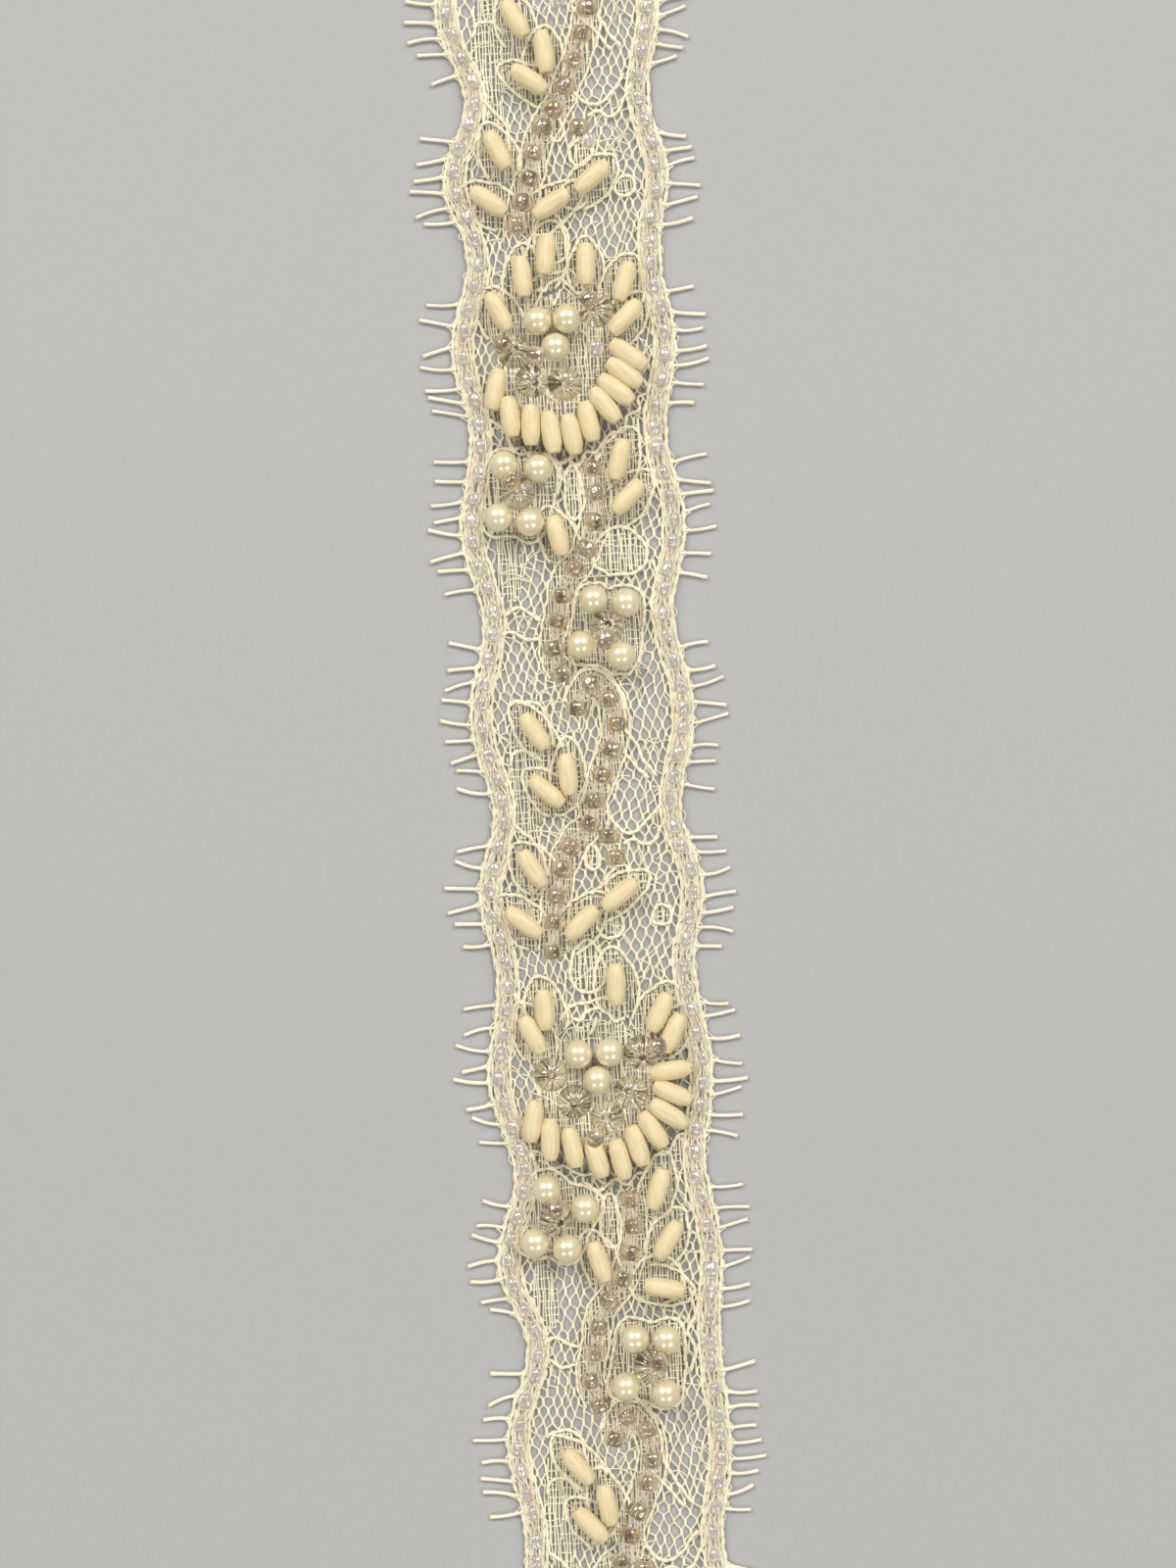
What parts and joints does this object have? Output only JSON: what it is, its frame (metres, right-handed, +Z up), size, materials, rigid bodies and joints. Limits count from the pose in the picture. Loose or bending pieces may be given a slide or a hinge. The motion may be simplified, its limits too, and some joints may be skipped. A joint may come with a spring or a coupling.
{
  "type": "beaded edging",
  "caption": "Straight length of scalloped ivory lace edging with an eyelash fringe on both edges, sewn with pearls, crystals, oat beads and strings of seed beads.",
  "frame": {"origin": "middle of the cut length on the centre line of the lace, at its flat back", "axes": "+X across the edging, +Y along its length, +Z up from the back towards the beads"},
  "size_m": [0.0421, 0.23, 0.0053],
  "materials": {
    "lace": "ivory thread, matte with a faint sheen",
    "oat": "cream, satin, faint grain",
    "pearl": "cream pearl, soft lustre",
    "crystal": "clear, faceted, polished",
    "edge_seed": "clear glass with an iridescent coat",
    "vine_seed": "taupe translucent glass"
  },
  "bodies": {
    "root": {"lace_band": "lace", "fringe_left": "lace", "fringe_right": "lace", "edge_beads_left": "edge_seed", "edge_beads_right": "edge_seed", "vine_hook_top": "vine_seed", "vine_stem_0": "vine_seed", "vine_hook_0": "vine_seed", "vine_stem_1": "vine_seed", "vine_hook_1": "vine_seed", "petals_0": "oat", "petals_1": "oat", "spray_0": "oat", "spray_1": "oat", "spray_2": "oat", "fork_left_0": "oat", "fork_left_1": "oat", "fork_right_0": "oat", "fork_right_1": "oat", "bud_right_0": "oat", "bud_right_1": "oat", "bud_left_0": "oat", "bud_left_1": "oat", "pearl_01": "pearl", "pearl_02": "pearl", "pearl_03": "pearl", "pearl_04": "pearl", "pearl_05": "pearl", "pearl_06": "pearl", "pearl_07": "pearl", "pearl_08": "pearl", "pearl_09": "pearl", "pearl_10": "pearl", "pearl_11": "pearl", "pearl_12": "pearl", "pearl_13": "pearl", "pearl_14": "pearl", "pearl_15": "pearl", "pearl_16": "pearl", "pearl_17": "pearl", "pearl_18": "pearl", "pearl_19": "pearl", "pearl_20": "pearl", "pearl_21": "pearl", "pearl_22": "pearl", "crystal_01": "crystal", "crystal_02": "crystal", "crystal_03": "crystal", "crystal_04": "crystal", "crystal_05": "crystal", "crystal_06": "crystal", "crystal_07": "crystal", "crystal_08": "crystal", "crystal_09": "crystal", "crystal_10": "crystal", "crystal_11": "crystal", "crystal_12": "crystal", "crystal_13": "crystal"}
  },
  "joints": []
}
